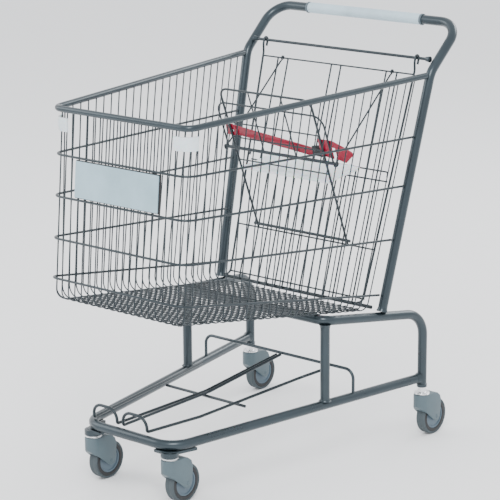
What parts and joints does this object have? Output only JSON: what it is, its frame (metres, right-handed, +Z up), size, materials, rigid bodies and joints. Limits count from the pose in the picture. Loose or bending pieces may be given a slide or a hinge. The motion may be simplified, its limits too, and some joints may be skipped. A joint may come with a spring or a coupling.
{
  "type": "shopping cart",
  "caption": "Nesting supermarket cart: welded wire basket on a tube chassis with swivel casters, swing-up rear gate, folding child seat with lap bar, and an undershelf.",
  "frame": {"origin": "centre of the cart's outline, on the floor", "axes": "+Z up, +Y towards the handle, -Y towards the nose, +X towards the cart's left side"},
  "size_m": [0.654, 1.0096, 1.1224],
  "materials": {
    "tube_paint": "satin blue-grey paint on steel tube",
    "wire_paint": "satin blue-grey coating on welded wire",
    "zinc": "bright zinc plate",
    "grip_plastic": "light grey moulded grip",
    "collar_plastic": "dark grey end collar",
    "sign_plastic": "pale blue-grey board, blank",
    "bumper_plastic": "milky white moulding",
    "seat_plastic": "milky translucent sheet",
    "red_plastic": "crimson moulding",
    "latch_plastic": "black moulding",
    "fork_plastic": "grey caster housing",
    "wheel_hub": "grey wheel centre",
    "tyre_tread": "dark grey tread"
  },
  "bodies": {
    "frame": {"basket_rim": "tube_paint", "corner_bumper_l": "bumper_plastic", "corner_bumper_r": "bumper_plastic", "floor_cross_wires": "wire_paint", "floor_long_wires": "wire_paint", "floor_rear_rod": "wire_paint", "front_l_race": "zinc", "front_post_l": "tube_paint", "front_post_r": "tube_paint", "front_r_race": "zinc", "front_socket_l": "tube_paint", "front_socket_r": "tube_paint", "gate_hinge_rod": "wire_paint", "grip": "grip_plastic", "grip_collar_l": "collar_plastic", "grip_collar_r": "collar_plastic", "handle_frame": "tube_paint", "hinge_boss_l": "tube_paint", "hinge_boss_r": "tube_paint", "hoop_1": "wire_paint", "hoop_2": "wire_paint", "hoop_3": "wire_paint", "hoop_4": "wire_paint", "lower_chassis": "tube_paint", "nose_wires": "wire_paint", "rack_arch": "tube_paint", "rack_cross_rod": "wire_paint", "rack_hairpin_l": "wire_paint", "rack_hairpin_r": "wire_paint", "rear_l_race": "zinc", "rear_r_race": "zinc", "side_wires_l": "wire_paint", "side_wires_r": "wire_paint", "sign_board": "sign_plastic", "sign_tray": "latch_plastic", "upper_chassis": "tube_paint"},
    "front_l_swivel": {"front_l_fork": "fork_plastic"},
    "front_l_wheel": {"front_l_hub": "wheel_hub", "front_l_tyre": "tyre_tread"},
    "front_r_swivel": {"front_r_fork": "fork_plastic"},
    "front_r_wheel": {"front_r_hub": "wheel_hub", "front_r_tyre": "tyre_tread"},
    "lap_bar": {"lap_bar": "red_plastic", "lap_bar_latch": "latch_plastic"},
    "seat_back": {"lap_bar_bracket": "red_plastic", "lap_bar_catch": "red_plastic", "lap_bar_rivet": "zinc", "seat_back_frame": "wire_paint"},
    "gate": {"rear_gate": "wire_paint"},
    "rear_l_swivel": {"rear_l_fork": "fork_plastic"},
    "rear_l_wheel": {"rear_l_hub": "wheel_hub", "rear_l_tyre": "tyre_tread"},
    "rear_r_swivel": {"rear_r_fork": "fork_plastic"},
    "rear_r_wheel": {"rear_r_hub": "wheel_hub", "rear_r_tyre": "tyre_tread"},
    "link_l": {"seat_link_l": "wire_paint"},
    "link_r": {"seat_link_r": "wire_paint"},
    "seat_plate": {"seat_plate": "seat_plastic"}
  },
  "joints": [
    {"name": "gate_swing", "type": "hinge", "parent": "frame", "child": "gate", "pos_m": [0, 0.3794, 1.024], "axis": [-1, 0, 0], "range_deg": [0, 60]},
    {"name": "seat_fold", "type": "hinge", "parent": "gate", "child": "link_l", "pos_m": [0.187, 0.36669, 0.98188], "axis": [1, 0, 0], "range_deg": [0, 24.6]},
    {"name": "link_r_turn", "type": "hinge", "parent": "gate", "child": "link_r", "pos_m": [-0.187, 0.36669, 0.98188], "axis": [1, 0, 0], "range_deg": [0, 24.6]},
    {"name": "seat_back_turn", "type": "hinge", "parent": "link_l", "child": "seat_back", "pos_m": [0.187, 0.1314, 0.773], "axis": [1, 0, 0], "range_deg": [-56, 0]},
    {"name": "seat_plate_drop", "type": "hinge", "parent": "gate", "child": "seat_plate", "pos_m": [0, 0.28761, 0.73207], "axis": [1, 0, 0], "range_deg": [0, 61.2]},
    {"name": "lap_bar_turn", "type": "hinge", "parent": "seat_back", "child": "lap_bar", "pos_m": [-0.15, 0.11259, 0.82125], "axis": [0, -0.9317, -0.3633], "range_deg": [0, 85]},
    {"name": "rear_l_swivel", "type": "hinge", "parent": "frame", "child": "rear_l_swivel", "pos_m": [0.304, 0.3584, 0.121], "axis": [0, 0, 1], "continuous": true},
    {"name": "rear_l_roll", "type": "hinge", "parent": "rear_l_swivel", "child": "rear_l_wheel", "pos_m": [0.304, 0.4024, 0.05], "axis": [1, 0, 0], "continuous": true},
    {"name": "rear_r_swivel", "type": "hinge", "parent": "frame", "child": "rear_r_swivel", "pos_m": [-0.304, 0.3584, 0.121], "axis": [0, 0, 1], "continuous": true},
    {"name": "rear_r_roll", "type": "hinge", "parent": "rear_r_swivel", "child": "rear_r_wheel", "pos_m": [-0.304, 0.4024, 0.05], "axis": [1, 0, 0], "continuous": true},
    {"name": "front_l_swivel", "type": "hinge", "parent": "frame", "child": "front_l_swivel", "pos_m": [0.132, -0.4516, 0.121], "axis": [0, 0, 1], "continuous": true},
    {"name": "front_l_roll", "type": "hinge", "parent": "front_l_swivel", "child": "front_l_wheel", "pos_m": [0.132, -0.4076, 0.05], "axis": [1, 0, 0], "continuous": true},
    {"name": "front_r_swivel", "type": "hinge", "parent": "frame", "child": "front_r_swivel", "pos_m": [-0.132, -0.4516, 0.121], "axis": [0, 0, 1], "continuous": true},
    {"name": "front_r_roll", "type": "hinge", "parent": "front_r_swivel", "child": "front_r_wheel", "pos_m": [-0.132, -0.4076, 0.05], "axis": [1, 0, 0], "continuous": true}
  ],
  "couplings": [
    {"joint": "link_r_turn", "follows": "seat_fold", "ratio": 1},
    {"joint": "seat_back_turn", "follows": "seat_fold", "ratio": -2.268},
    {"joint": "seat_plate_drop", "follows": "seat_fold", "ratio": 2.48}
  ]
}
